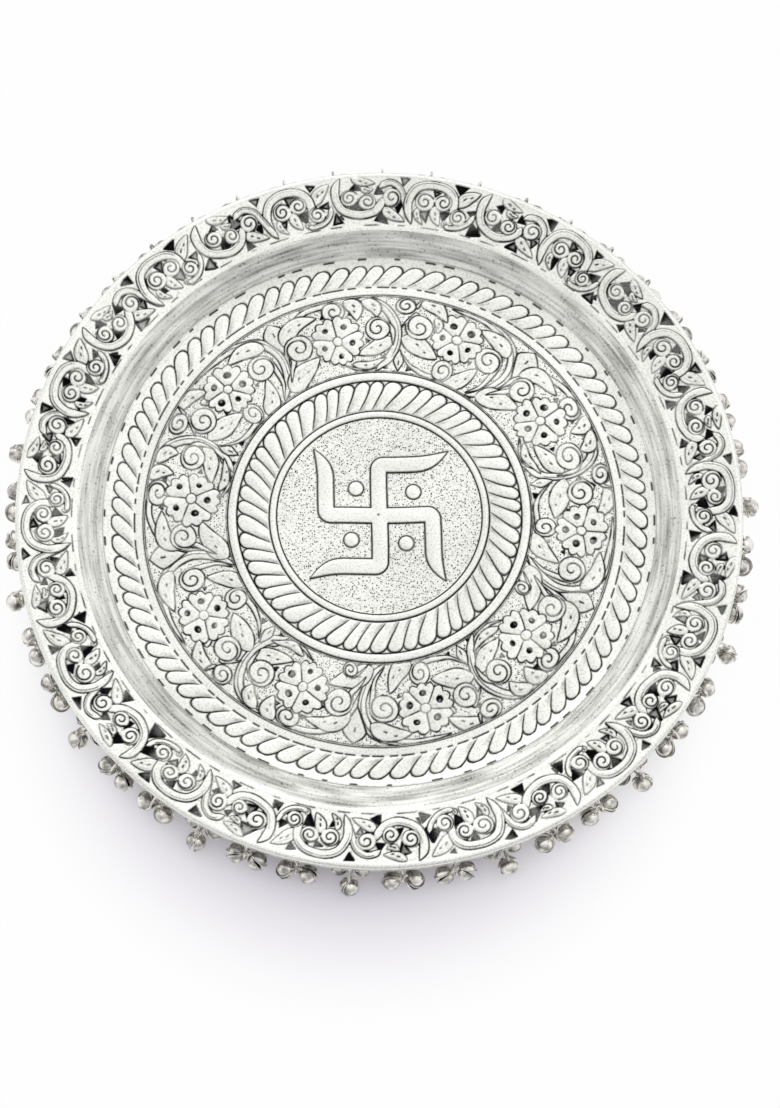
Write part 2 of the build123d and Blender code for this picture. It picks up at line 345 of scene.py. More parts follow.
def recess(band, middle, size, turn, tone, deep, stretch=(1.0, 1.0, 1.0)):
    """A punched three-cornered hollow between scrolls: black walls, and a floor that may be grey."""
    middle = np.array(middle, float)
    cells, s, t = band.window(middle - 3.2 * size, middle + 3.2 * size)
    corners = []
    for corner in range(3):
        point = math.radians(turn + 120 * corner)
        reach = 2 * size * stretch[corner]
        corners.append((middle[0] + reach * math.cos(point), middle[1] + reach * math.sin(point)))
    round_by = 1.6 * size * max(stretch) - np.hypot(s - middle[0], t - middle[1])
    inside_by = np.minimum(many_sided(s, t, corners), round_by)
    open_ground = smooth(0.35, 0.75, band.ground[cells])
    hollow = smooth(-0.2, 0.35, inside_by) * open_ground
    floor = smooth(0.35 * size, 0.75 * size, inside_by)
    ink = 0.98 - (0.98 - tone) * floor
    band.height[cells] = band.height[cells] * (1 - hollow) - deep * hollow
    band.patina[cells] = np.maximum(band.patina[cells] * (1 - hollow), hollow * ink)
    band.ground[cells] *= 1 - hollow


# One repeat of the flower band, with two flowers, in mm along and across the band
FLOWER_VINE = {
    "recesses": [
        ((73.4, 2.2), 1.2, 200), ((85.6, 2.4), 1.2, -20), ((22.6, 2.2), 0.9, 30), ((58.6, 27.8), 0.9, 90),
        ((84.0, 27.2), 0.9, 200), ((43.0, 21.5), 0.9, 60), ((65.5, 14.6), 0.9, 0), ((95.0, 15.2), 0.9, 100),
        ((10.6, 14.2), 0.8, 40), ((48.0, 27.8), 0.9, 90),
    ],
    "thin stem": [(53, 4.4), (60.5, 1.5), (69, 2.8), (75.4, 8.4)],
    "second arch": [
        (61, 34.0), (68.8, 32.6), (74.6, 27.6), (78.0, 20), (78.0, 12.1), (74.9, 5.4), (68.8, 0.3),
    ],
    "coil between": (
        [(18.7, 0.6), (25.6, 8.6), (28.4, 15.9), (31.2, 23.6), (36.5, 29.6), (43.2, 32.8)],
        (53.0, 29.9), 4.5, 90, -1, 2.4,
    ),
    "first arch": [
        (-6.0, 34.0), (4.0, 34.2), (12.6, 33.4), (20.2, 30), (24.4, 24.3), (26.2, 17.9), (25.2, 11.4),
        (21.8, 5), (16.0, 0.2),
    ],
    "buds": [((28.6, 29.2), 4.4, 5.2, 10.5), ((79.4, 4.8), 2.5, 5.6, 4.2)],
    "leaves": [
        ([(3.2, 0.6), (10.6, 4.6), (15.2, 13.4)], 4.0, 0.3),
        ([(22.4, 25.6), (16.0, 29.6), (7.0, 29.9)], 3.6, 0.1),
        ([(29.8, 22.0), (36.0, 27.9), (46.0, 28.4)], 3.6, 0.2),
        ([(21.4, 2.4), (30.0, 6.6), (42.0, 11.4)], 4.8, 0.3),
        ([(57.9, 34.4), (61.4, 30.9), (61.6, 24.8)], 3.0, 0.1),
        ([(64.0, 33.4), (68.6, 30.2), (69.6, 25.4)], 2.8, 0.5),
        ([(77.2, 15.6), (70.4, 11.2), (60.4, 8.2)], 3.6, 0.3),
        ([(86.0, 32.6), (91.0, 33.0), (97.4, 27.6)], 3.2, 0.2),
        ([(79.6, 15.4), (88.5, 12.2), (98.0, 9.4)], 4.4, 0.3),
        ([(92.6, 26.8), (95.0, 24.2), (95.4, 20.4)], 1.9, 0.4),
        ([(57.0, 4.6), (65.0, 3.0), (74.6, 6.2)], 1.9, 0.5),
    ],
    "coils": [
        ([(16.2, 1.4), (20.6, 7.4)], (16.6, 19.2), 5.6, 5, 1),
        ([(80.5, 9.0), (86, 3.9), (93, 1.8)], (102.9, 5.6), 5.0, -90, 1),
        ([(25.0, 6.0), (28.6, 10.6)], (35.4, 18.4), 5.7, 185, -1),
        ([(77.2, 12.5), (77.0, 17.5)], (70.3, 19.8), 5.4, 50, 1),
        ([(79.2, 21.0)], (86.4, 21.2), 5.4, 150, 1),
        ([(86.4, 34.6)], (80.8, 30.8), 3.9, 40, 1, 1.8),
    ],
    "flowers": [((0, 20.9), 11.4), ((52.0, 16.0), 12.0)],
}

# A small hollow and a coil that only two of the repeats have
FULLER_REPEATS = (1, 2)
FULLER_RECESS = ((29.3, 1.6), 1.2, 150, 0.1)
FULLER_COIL = ([(25.0, 1.2)], (33.4, 3.6), 3.4, 100, -1, 1.5)


def flower_repeat(band, chance, repeat):
    """Chase one repeat of the flower band, back to front, each stroke a little off as a hand sets it."""
    base = repeat * (band.length / FLOWER_REPEATS)

    def hand(points, amount=0.45):
        along, across = base + chance.normal(0, amount), chance.normal(0, amount * 0.7)
        return [(s + along, t + across) for s, t in points]

    def coil(points, middle, size, joint, way, width=2.3):
        middle, *points = hand([middle] + points, 0.3)
        scroll(band, points, middle, size * chance.uniform(0.96, 1.04), joint, way, width)

    for spot, size, turn in FLOWER_VINE["recesses"]:
        recess(band, hand([spot])[0], size, turn, tone=chance.uniform(0.6, 0.95), deep=0.4)
    stem(band, hand(FLOWER_VINE["thin stem"], 0.3), width=1.9, tips=(0.5, 0.1))
    stem(band, hand(FLOWER_VINE["second arch"], 0.2), width=3.6, crown=0.6, vein=0.85)
    coil(*FLOWER_VINE["coil between"])
    stem(band, hand(FLOWER_VINE["first arch"], 0.2), width=3.6, crown=0.6, vein=0.85)
    for spot, wide, tall, foot in FLOWER_VINE["buds"]:
        bud(band, hand([spot], 0.3)[0], wide, tall, foot)
    for points, half, hatch in FLOWER_VINE["leaves"]:
        leaf(band, hand(points), half, crown=0.65, hatch=hatch)
    for ribbon in FLOWER_VINE["coils"]:
        coil(*ribbon)
    if repeat in FULLER_REPEATS:
        spot, size, turn, tone = FULLER_RECESS
        recess(band, hand([spot], 0.3)[0], size, turn, tone, deep=0.4)
        coil(*FULLER_COIL)
    for number, (spot, size) in enumerate(FLOWER_VINE["flowers"]):
        middle = hand([spot], 0.4)[0]
        radius = size * chance.uniform(0.97, 1.03)
        flower(band, middle, radius, turn=-90 + chance.uniform(-5, 5), seed=20 + 2 * repeat + number)


def flower_band():
    """The broad floral band: ten flowers, alternately high and low, in an undulating vine."""
    band = Band(INNER_ROPE_EDGE, FLOWER_EDGE, columns=1560, rows=104, zero_angle=67.2, wobble=0.35, seed=3)
    chance = np.random.default_rng(11)
    for repeat in range(FLOWER_REPEATS):
        flower_repeat(band, chance, repeat)
    edge = np.minimum(band.t, band.t[-1] - band.t)[:, None]
    band.height *= smooth(0.0, 0.8, edge)
    band.score(WHOLE_BAND, edge - 0.3, line=0.3, ink=0.75, cut=0.1)
    band.wear(seed=41, least=0.55)
    band.height *= 0.65
    return band


# One scroll of the rim that opens at its foot and one that opens at its head, in mm along and across the rim
RISING_SCROLL = {
    "leaves": [
        ([(13.8, 12.0), (14.6, 7.8), (17.4, 3.4)], 2.4, 0.0),
        ([(25.0, 13.2), (28.0, 17.8), (33.6, 21.8)], 2.7, 0.5),
        ([(6.4, 10.6), (6.2, 7.0), (9.6, 3.2)], 1.5, 0.3),
        ([(20.2, 6.2), (20.6, 4.4), (22.8, 3.0)], 1.2, 0.0),
    ],
    "ribbons": [
        ([(20.4, 3.9), (23.5, 3.6), (28.2, 4.6), (31.8, 7.6), (33.4, 12.0)], 2.3),
        ([(3.6, 3.0), (1.7, 8.0), (1.5, 13.0), (4.2, 18.4), (8.6, 20.8), (13.6, 21.2), (19.0, 20.1),
          (22.4, 17.0), (23.4, 12.6), (22.2, 9.8)], 3.6),
    ],
    "curls": [((9.1, 13.3), 3.9, 60, 1), ((17.8, 13.9), 3.6, 120, -1), ((26.0, 8.8), 3.4, 45, 1)],
    "recesses": [
        ((14.0, 17.7), 1.5, -90), ((8.6, 8.1), 1.8, -60), ((19.2, 8.7), 1.8, -90), ((31.2, 12.0), 1.8, 60),
        ((24.6, 21.2), 1.6, -90), ((35.0, 4.6), 1.8, 90),
    ],
}
FALLING_SCROLL = {
    "leaves": [
        ([(22.6, 9.6), (26.6, 7.2), (34.0, 4.2)], 2.4, 0.4),
        ([(9.6, 23.0), (14.2, 20.9), (20.0, 20.2)], 1.9, 0.6),
        ([(13.2, 18.4), (15.6, 17.0), (18.8, 17.4)], 1.4, 0.0),
    ],
    "ribbons": [
        ([(21.2, 17.8), (24.0, 19.7), (27.4, 20.2), (31.2, 17.8), (33.4, 13.0), (35.8, 7.4),
          (38.0, 3.2)], 2.8),
        ([(4.0, 23.2), (1.7, 19.0), (1.4, 14.0), (3.5, 9.4), (8.0, 6.9), (13.4, 6.0), (18.8, 7.5),
          (21.8, 10.6), (22.6, 13.8)], 3.6),
    ],
    "curls": [((7.6, 13.9), 3.7, 80, 1), ((16.6, 11.8), 3.4, 130, -1), ((27.3, 14.0), 3.8, -60, 1)],
    "recesses": [
        ((12.2, 10.4), 1.9, 90), ((10.4, 18.8), 1.7, -60), ((20.9, 16.4), 1.7, 90), ((30.8, 10.4), 1.5, 30),
        ((22.8, 4.4), 1.9, 90), ((33.8, 22.0), 1.6, -90), ((2.6, 5.4), 1.1, 90),
    ],
}


def rim_scroll(band, chance, number):
    """Chase one scroll of the rim, and give back the hollows to punch beside it."""
    motif = FALLING_SCROLL if number % 2 else RISING_SCROLL
    pitch = band.length / SCROLL_PAIRS
    base = number * pitch / 2

    def hand(points, amount=0.3):
        shift = chance.normal(0, amount, 2) * (1, 0.6)
        return [(base + s * pitch / DRAWN_PAIR + shift[0], 0.35 + 0.96 * t + shift[1]) for s, t in points]

    for points, half, hatch in motif["leaves"]:
        leaf(band, hand(points), half, crown=0.6, hatch=0.3 + hatch, ink=chance.uniform(0.55, 0.9))
    for points, width in motif["ribbons"]:
        stem(band, hand(points, 0.2), width, crown=0.75, tips=(0.12, 0.1),
             vein=chance.uniform(0.3, 0.75), ink=chance.uniform(0.8, 1.0), aside=0.4)
    for middle, radius, joint, way in motif["curls"]:
        middle = hand([middle], 0.25)[0]
        radius, joint = radius * chance.uniform(0.95, 1.07), joint + chance.uniform(-15, 15)
        curl(band, middle, radius, joint, way, crown=0.75, ink=chance.uniform(0.55, 0.95),
             turns=chance.uniform(1.2, 1.5))
    hollows, deep = [], 0.6
    for middle, size, turn in motif["recesses"]:
        tone = chance.choice([0.5, 0.92, 0.97])
        middle = hand([middle], 0.25)[0]
        size, turn = size * chance.uniform(0.85, 1.3), turn + chance.uniform(-25, 25)
        hollows.append((middle, size, turn, tone, deep, chance.uniform(0.6, 1.35, 3)))
    return hollows


def scroll_rim():
    """The chased rim: fourteen pairs of scrolls, one rising and one falling."""
    band = Band(COVE_EDGE, SCROLL_EDGE, columns=2520, rows=66, zero_angle=111.0, wobble=0.35, seed=5,
                line=0.28)
    chance = np.random.default_rng(29)
    band.height[:] = -0.15
    hollows = []
    for number in range(2 * SCROLL_PAIRS):
        hollows += rim_scroll(band, chance, number)
    band.blacken_gaps(reach=0.9, low=0.56, high=0.7, ink=0.95, deep=0.35, echo=0.25)
    for hollow in hollows:
        recess(band, *hollow)
    # A plain foot inside the scrolls, with a broken line where they begin
    foot = 2.6
    inner_edge = smooth(foot - 0.7, foot + 0.2, band.t)[:, None]
    outer = band.t[-1] - band.t[:, None]
    band.height *= inner_edge * smooth(0.0, 0.9, outer)
    band.patina *= inner_edge * smooth(0.1, 0.6, outer)
    band.ground[:] = 0
    waves = np.sin(61 * band.turn) + 0.7 * np.sin(37 * band.turn + 1) + 0.4 * np.sin(113 * band.turn + 2)
    broken = smooth(-0.1, 0.5, waves)
    band.score(WHOLE_BAND, band.t[:, None] - foot + 0.5, line=0.3, ink=0.75 * broken, cut=0.12)
    band.wear(seed=43, least=0.62)
    band.height *= 0.7
    return band


def rope(edge_in, edge_out, inner, outer, count, lean, columns, rows, seed):
    """A band of slanting lobes laid like a rope: round heads outwards, tails swept back inwards."""
    band = Band(edge_in, edge_out, columns, rows, wobble=0.12, seed=seed)
    radii, turn, lean = band.radii[:, None], band.turn, math.radians(lean)
    down = np.clip((outer - radii) / (outer - inner), 0, 1)
    hand = 0.11 * np.sin(7 * turn + 0.6) + 0.09 * np.sin(17 * turn + 2.0)
    winding = turn * count / TAU + hand + lean * count / TAU * down ** 1.7
    phase = winding % 1.0
    pitch = TAU * radii / count
    slope = 1.7 * lean * radii * down ** 0.7 / (outer - inner)
    narrow = 1 / np.sqrt(1 + slope ** 2)
    side = np.minimum(phase, 1 - phase) * pitch * narrow
    head = pitch / 2
    head_top = outer - radii
    off = (phase - 0.5) * pitch
    head_by = np.where(head_top < head, head - np.hypot(off, head - head_top), side)
    inside = np.where((radii <= outer) & (radii >= inner), head_by, -1.0)
    full = np.maximum(pitch * narrow / 2, 0.3)
    swell = np.sqrt(np.clip(1 - (1 - np.clip(inside / full, 0, 1)) ** 2, 0, 1))
    rows_in = smooth(inner - 0.2, inner + 1.2, radii) * smooth(outer + 0.4, outer - 0.1, radii)
    band.height += 0.75 * swell * rows_in * (0.45 + 0.55 * smooth(1.0, 0.35, down))
    # Each lobe's line has a weight of its own, with some to spare for tails that run past the start
    weights = np.random.default_rng(seed).uniform(0.75, 1.0, count + 9)
    weight = weights[np.floor(winding).astype(int) % len(weights)]
    groove = np.exp(-(inside / (0.40 - 0.16 * down)) ** 2) * rows_in * weight
    groove *= 1 - 0.35 * smooth(0.75, 1.0, down)
    # Painted shade: a soft grey on one side of each lobe, towards its tail
    soft = np.exp(-((phase - 0.16) / 0.16) ** 2) * smooth(0.35, 0.95, down) * rows_in * 0.22
    band.patina = np.maximum(groove, soft)
    band.height -= 0.18 * groove
    band.ground[:] = 0
    return band


def ring_groove(band, radius, line, ink, cut, dashes=None):
    """A line scored round the dish, in one run or in uneven dashes."""
    strength = 1.0
    if dashes:
        count, share, seed = dashes
        chance = np.random.default_rng(seed)
        places = TAU * (np.arange(count) + chance.uniform(-0.28, 0.28, count)) / count
        lengths = TAU / count * share * chance.uniform(0.5, 1.35, count)
        strength = np.zeros_like(band.turn)
        for place, length in zip(places, lengths):
            gap = np.abs((band.turn - place + math.pi) % TAU - math.pi)
            strength = np.maximum(strength, smooth(length / 2 + 0.003, length / 2 - 0.003, gap))
    band.score(WHOLE_BAND, np.abs(band.radii[:, None] - radius), line, ink * strength, cut)


def ring_ridge(band, inner, outer, crown=0.7):
    """A plain half-round ring raised between two radii, with a line on each side."""
    middle, half = (inner + outer) / 2, (outer - inner) / 2
    swell = np.sqrt(np.clip(1 - ((band.radii - middle) / half) ** 2, 0, 1))[:, None]
    inside = smooth(-0.1, 0.2, half - np.abs(band.radii - middle))[:, None]
    band.height = band.height * (1 - inside) + crown * swell * inside
    band.patina *= 1 - inside
    band.ground *= 1 - inside
    for radius in (inner, outer):
        ring_groove(band, radius, line=0.32, ink=0.95, cut=0.15)


def inner_rope():
    """The twisted border round the medallion, between two raised rings."""
    band = rope(MEDALLION_EDGE, INNER_ROPE_EDGE, inner=46.8, outer=60.3, count=54, lean=7.5,
                columns=1080, rows=72, seed=2)
    ring_ridge(band, 43.5, 46.7)
    ring_ridge(band, 60.4, 64.4)
    return band


def outer_rope():
    """The twisted border at the floor's edge, between scored and dashed lines."""
    band = rope(FLOWER_EDGE, OUTER_ROPE_EDGE, inner=104.3, outer=113.6, count=86, lean=3.8,
                columns=1892, rows=46, seed=4)
    ring_groove(band, 100.2, line=0.3, ink=0.8, cut=0.12)
    ring_groove(band, 103.8, line=0.34, ink=0.9, cut=0.14, dashes=(112, 0.72, 8))
    ring_groove(band, 116.3, line=0.36, ink=0.9, cut=0.12, dashes=(54, 0.3, 9))
    return band


def swastika_by(x, y, reach=26.0, bar=7.0, corner=5.5, arm_past=3.4, tip_from=14.0, tip_past=3.6,
                tip_lift=5.4):
    """How far a point lies inside the swastika: four arms with upswept tips, each a quarter turn on."""
    best = np.full(np.broadcast(x, y).shape, -1e9)
    half = bar / 2
    arm_end = reach + arm_past
    for quarter in range(4):
        a = -quarter * math.pi / 2
        u = x * math.cos(a) - y * math.sin(a)
        v = x * math.sin(a) + y * math.cos(a)
        upright = np.minimum(half - np.abs(u), np.minimum(v + half, reach - v))
        bend = np.clip((u - tip_from) / (reach + tip_past - tip_from), 0, 1)
        lift = tip_lift * bend ** 2.6
        thick = half * (1 - bend ** 3.2)
        arm = np.minimum(thick - np.abs(v - (reach - half) - lift), np.minimum(u + half, arm_end - u))
        round_by = corner - np.hypot(u + half - corner, v - reach + corner)
        in_corner = (u < corner - half) & (v > reach - corner)
        both = np.maximum(upright, arm)
        both = np.where(in_corner, np.minimum(both, round_by), both)
        best = np.maximum(best, both)
    return best


def medallion(x, y):
    """Heights, patina and bare ground of the middle: the swastika and its four dots on a punched ground."""
    tilt = math.radians(-0.6)
    u = x * math.cos(tilt) - y * math.sin(tilt) + 0.25 * np.sin(y / 9.0)
    v = x * math.sin(tilt) + y * math.cos(tilt) + 0.25 * np.sin(x / 8.0 + 1)
    inside_by = swastika_by(u, v)
    inside = smooth(-0.25, 0.3, inside_by)
    swell = np.sqrt(np.clip(1 - (1 - np.clip(inside_by / 3.4, 0, 1)) ** 2, 0, 1))
    groove = np.exp(-(inside_by / 0.36) ** 2)
    height = 0.8 * (0.35 + 0.65 * swell) * inside - 0.16 * groove
    patina = 0.92 * groove
    ground = 1 - inside
    for spot in DOTS:
        by = DOT_RADIUS - np.hypot(x - spot[0], y - spot[1])
        inside = smooth(-0.2, 0.25, by)
        ring = np.exp(-(by / 0.34) ** 2)
        dome = np.sqrt(np.clip(1 - (1 - np.clip(by / DOT_RADIUS, 0, 1)) ** 2, 0, 1))
        height = height * (1 - inside) + 0.65 * dome * inside - 0.15 * ring
        patina = np.maximum(patina * (1 - inside), 0.85 * ring)
        ground *= 1 - inside
    # The mark of the compass that set out the rings
    point = np.exp(-((x + 0.4) ** 2 + y ** 2) / 0.45 ** 2)
    return height - 0.2 * point, np.maximum(patina, 0.9 * point), ground


def rounded(corners, radii, steps=8):
    """A section's outline through its corners, each rounded to its radius."""
    line = [corners[0]]
    for index in range(1, len(corners) - 1):
        before, here, after = (np.array(corners[index + step], float) for step in (-1, 0, 1))
        back, ahead = before - here, after - here
        back, ahead = back / np.linalg.norm(back), ahead / np.linalg.norm(ahead)
        half = math.acos(np.clip(back @ ahead, -1, 1)) / 2
        radius = radii[index - 1]
        bisector = (back + ahead) / np.linalg.norm(back + ahead)
        middle = here + bisector * radius / math.sin(half)
        start, end = here + back * radius / math.tan(half), here + ahead * radius / math.tan(half)
        first = math.atan2(*(start - middle)[::-1])
        swing = (math.atan2(*(end - middle)[::-1]) - first + math.pi) % TAU - math.pi
        for share in np.linspace(0, 1, steps + 1):
            turn = first + share * swing
            line.append(tuple(middle + radius * np.array([math.cos(turn), math.sin(turn)])))
    line.append(corners[-1])
    return np.array(line)


def set_in(corners, by):
    """The outline of the sheet's other face: each run moved sideways by the sheet's thickness."""
    runs = []
    for start, end in zip(corners, corners[1:]):
        along = np.array(end, float) - np.array(start, float)
        along /= np.linalg.norm(along)
        runs.append((np.array(start) + by * np.array([along[1], -along[0]]), along))
    line = [tuple(runs[0][0])]
    for (p, d), (q, e) in zip(runs, runs[1:]):
        share = ((q - p)[0] * e[1] - (q - p)[1] * e[0]) / (d[0] * e[1] - d[1] * e[0])
        line.append(tuple(p + share * d))
    line.append((runs[-1][0][0], corners[-1][1]))
    return line


TOP_CORNERS = [
    (0, FLOOR_TOP), (FLOOR_RADIUS, FLOOR_TOP), (COVE_TOP_RADIUS, COVE_TOP), (RIM_RADIUS, RIM_TOP),
    (RIM_RADIUS, LIP_EDGE),
]
TOP_FACE = rounded(TOP_CORNERS, (COVE_FILLET, SHOULDER_FILLET, EDGE_FILLET))
UNDER_FILLETS = (COVE_FILLET + SHEET, SHOULDER_FILLET - SHEET, EDGE_FILLET - SHEET)
UNDER_FACE = rounded(set_in(TOP_CORNERS, SHEET), UNDER_FILLETS)


def height_on(face, radius):
    """How high the sheet's top or under face lies at a radius."""
    return np.interp(radius, face[:-1, 0], face[:-1, 1])


def mesh_piece(name, points, faces, marks=None, sharp=70):
    """A piece from points in millimetres and a list of face arrays, with its point attributes."""
    mesh = bpy.data.meshes.new(name)
    mesh.vertices.add(len(points))
    mesh.vertices.foreach_set("co", (np.asarray(points, float) * MM).astype(np.float32).ravel())
    corners = np.concatenate([np.asarray(block).ravel() for block in faces])
    sizes = np.concatenate([np.full(len(block), np.asarray(block).shape[1]) for block in faces])
    mesh.loops.add(len(corners))
    mesh.loops.foreach_set("vertex_index", corners.astype(np.int32))
    mesh.polygons.add(len(sizes))
    mesh.polygons.foreach_set("loop_start", np.concatenate([[0], np.cumsum(sizes)[:-1]]).astype(np.int32))
    mesh.update(calc_edges=True)
    for mark, values in (marks or {}).items():
        layer = mesh.attributes.new(mark, "FLOAT", "POINT")
        layer.data.foreach_set("value", np.asarray(values, np.float32).ravel())
    mesh.shade_smooth()
    mesh.set_sharp_from_angle(angle=math.radians(sharp))
    piece = bpy.data.objects.new(name, mesh)
    bpy.context.scene.collection.objects.link(piece)
    return piece


def make_plain(piece, modifier):
    """Leave a piece with the plain mesh that its modifier makes."""
    bpy.context.view_layer.update()
    made = bpy.data.meshes.new_from_object(piece.evaluated_get(bpy.context.evaluated_depsgraph_get()))
    piece.modifiers.remove(modifier)
    piece.data = made
    made.name = piece.name


def quads(low, high, wrap):
    """Four-cornered faces between two rows of points whose numbers are given in order."""
    if wrap:
        low, high = np.append(low, low[0]), np.append(high, high[0])
    return np.stack([low[:-1], low[1:], high[1:], high[:-1]], 1)


def ring_piece(name, band, under_rows, first=0, last=None):
    """A closed ring of sheet, or a sector of it, with the band's chasing raised on its top face."""
    whole = last is None
    columns = np.arange(band.columns) if whole else np.arange(first, last + 1) % band.columns
    count, rows = len(columns), len(band.radii)
    angles = band.angles[columns]
    under_radii = np.linspace(band.inner, band.outer, under_rows)

    def lay(radii, heights):
        x = radii[:, None] * np.cos(angles)
        y = radii[:, None] * np.sin(angles)
        return np.stack([x, y, np.broadcast_to(heights, x.shape)], -1).reshape(-1, 3)

    top = lay(band.radii, height_on(TOP_FACE, band.radii)[:, None] + band.height[:, columns])
    under = lay(under_radii, height_on(UNDER_FACE, under_radii)[:, None])
    top_rows = np.arange(rows * count).reshape(rows, count)
    low_rows = np.arange(under_rows * count).reshape(under_rows, count) + rows * count
    faces = [quads(top_rows[row], top_rows[row + 1], whole) for row in range(rows - 1)]
    faces += [quads(low_rows[row + 1], low_rows[row], whole) for row in range(under_rows - 1)]
    faces += [quads(low_rows[0], top_rows[0], whole), quads(top_rows[-1], low_rows[-1], whole)]
    if not whole:
        start = np.concatenate([top_rows[:, 0], low_rows[::-1, 0]])
        end = np.concatenate([top_rows[::-1, -1], low_rows[:, -1]])
        faces += [start[None, :], end[None, :]]
    bare = np.zeros(under_rows * count)
    marks = {
        "patina": np.concatenate([band.patina[:, columns].ravel(), bare]),
        "stipple": np.concatenate([band.ground[:, columns].ravel(), bare]),
    }
    return mesh_piece(name, np.concatenate([top, under]), faces, marks)


def half_rings(name, band, under_rows):
    """A band's ring in two halves, so that neither mesh is too heavy."""
    half = band.columns // 2
    return [ring_piece(f"{name}_{number}", band, under_rows, first, last)
            for number, first, last in ((1, 0, half), (2, half, band.columns))]


def disc_piece(name, radius, cells):
    """The round middle of the floor, on a square net drawn out to a circle so that it has no pole."""
    side = np.linspace(-1, 1, cells + 1)
    a, b = np.meshgrid(side, side)
    wide = np.abs(a) > np.abs(b)
    safe_a, safe_b = np.where(wide, a, 1), np.where(wide | (b == 0), 1, b)
    reach = np.where(wide, a, b) * radius
    turn = np.where(wide, math.pi / 4 * b / safe_a, math.pi / 2 - math.pi / 4 * a / safe_b)
    x, y = reach * np.cos(turn), reach * np.sin(turn)
    height, patina, ground = medallion(x, y)
    top = np.stack([x, y, FLOOR_TOP + height], -1).reshape(-1, 3)
    numbers = np.arange((cells + 1) ** 2).reshape(cells + 1, cells + 1)
    edge = np.concatenate([numbers[0, :-1], numbers[:-1, -1], numbers[-1, :0:-1], numbers[:0:-1, 0]])
    under = top[edge] * [1, 1, 0] + [0, 0, FLOOR_TOP - SHEET]
    low = np.arange(len(edge)) + len(top)
    faces = [quads(numbers[row], numbers[row + 1], False) for row in range(cells)]
    faces += [quads(low, edge, True), low[::-1][None, :]]
    bare = np.zeros(len(edge))
    marks = {"patina": np.append(patina.ravel(), bare), "stipple": np.append(ground.ravel(), bare)}
    return mesh_piece(name, np.concatenate([top, under]), faces, marks)


def lip_piece(name, inner, segments):
    """The rim's plain edge and turned-down lip, with a hole for every jump ring."""
    outside = [tuple(point) for point in TOP_FACE if point[0] > inner]
    inside = [tuple(point) for point in UNDER_FACE if point[0] > inner]
    section = [(inner, float(height_on(TOP_FACE, inner)))] + outside
    section += inside[::-1] + [(inner, float(height_on(UNDER_FACE, inner)))]
    section = np.array(section)
    angles = TAU * np.arange(segments) / segments
    x, y = section[:, :1] * np.cos(angles), section[:, :1] * np.sin(angles)
    points = np.stack([x, y, np.broadcast_to(section[:, 1:], x.shape)], -1).reshape(-1, 3)
    rows = np.arange(len(points)).reshape(len(section), segments)
    faces = [quads(rows[(row + 1) % len(rows)], rows[row], True) for row in range(len(rows))]
    marks = {mark: np.zeros(len(points)) for mark in ("patina", "stipple")}
    lip = mesh_piece(name, points, faces, marks, sharp=40)
    bore_lip(lip)
    return lip


def bunch_angle(index):
    """Where a bunch hangs on the rim, in degrees."""
    return BUNCH_PHASE + 360 / BUNCH_COUNT * index


def bore_lip(lip):
    """Cut the jump rings' holes through the lip."""
    points, ends = [], []
    around_hole = TAU * np.arange(DRILL_SIDES)[:, None] / DRILL_SIDES
    for index in range(BUNCH_COUNT):
        angle = math.radians(bunch_angle(index))
        out = np.array([math.cos(angle), math.sin(angle), 0])
        across = np.array([-math.sin(angle), math.cos(angle), 0])
        rim = across * np.cos(around_hole) + np.array([0, 0, 1.0]) * np.sin(around_hole)
        rim = rim * HOLE_DIAMETER / 2 + [0, 0, HOLE_HEIGHT]
        points += [rim + out * (HOLE_OUT - DRILL_REACH), rim + out * (HOLE_OUT + DRILL_REACH)]
        near = np.arange(DRILL_SIDES) + 2 * DRILL_SIDES * index
        ends.append((near, near + DRILL_SIDES))
    faces = [quads(near, far, True) for near, far in ends]
    faces += [near[::-1][None] for near, far in ends] + [far[None] for near, far in ends]
    drill = mesh_piece("drill", np.concatenate(points), faces)
    cut = lip.modifiers.new("holes", "BOOLEAN")
    cut.object, cut.operation, cut.solver = drill, "DIFFERENCE", "EXACT"
    make_plain(lip, cut)
    bpy.data.objects.remove(drill)


def plain_band(inner, outer, columns, rows):
    """A ring of the sheet with nothing chased on it."""
    band = Band(inner, outer, columns, rows)
    band.ground[:] = 0
    return band


def make_dish(chased, plain):
    """The sheet from its middle to its lip, in pieces that meet edge to edge."""
    cove_band = plain_band(OUTER_ROPE_EDGE, COVE_EDGE, columns=480, rows=20)
    pieces = [
        disc_piece("medallion_field", MEDALLION_EDGE, cells=250),
        ring_piece("inner_rope_band", inner_rope(), under_rows=2),
        *half_rings("flower_band", flower_band(), under_rows=2),
        ring_piece("outer_rope_band", outer_rope(), under_rows=4),
        ring_piece("cove", cove_band, under_rows=12),
        *half_rings("scroll_rim", scroll_rim(), under_rows=4),
        lip_piece("rim_lip", SCROLL_EDGE, segments=720),
    ]
    for piece in pieces:
        piece.data.materials.clear()
        piece.data.materials.append(plain if piece.name == "cove" else chased)
        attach(piece, "dish")
        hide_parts("thali_dish")


def node(tree, kind, inputs=None, **settings):
    """Add one node with its settings and links.

    Each input takes a value, another node's output, a node (for its first output) or a list of nodes.
    """
    made = tree.nodes.new(kind)
    for key, value in settings.items():
        setattr(made, key, value)
    for key, value in (inputs or {}).items():
        for source in value if isinstance(value, list) else [value]:
            if isinstance(source, bpy.types.Node):
                source = source.outputs[0]
            if isinstance(source, bpy.types.NodeSocket):
                tree.links.new(source, made.inputs[key])
            else:
                made.inputs[key].default_value = source
    return made


def colour(code):
    """An sRGB hex colour as the linear one that shaders take."""
    parts = [int(code[place:place + 2], 16) / 255 for place in (1, 3, 5)]
    return tuple(p / 12.92 if p <= 0.04045 else ((p + 0.055) / 1.055) ** 2.4 for p in parts) + (1.0,)


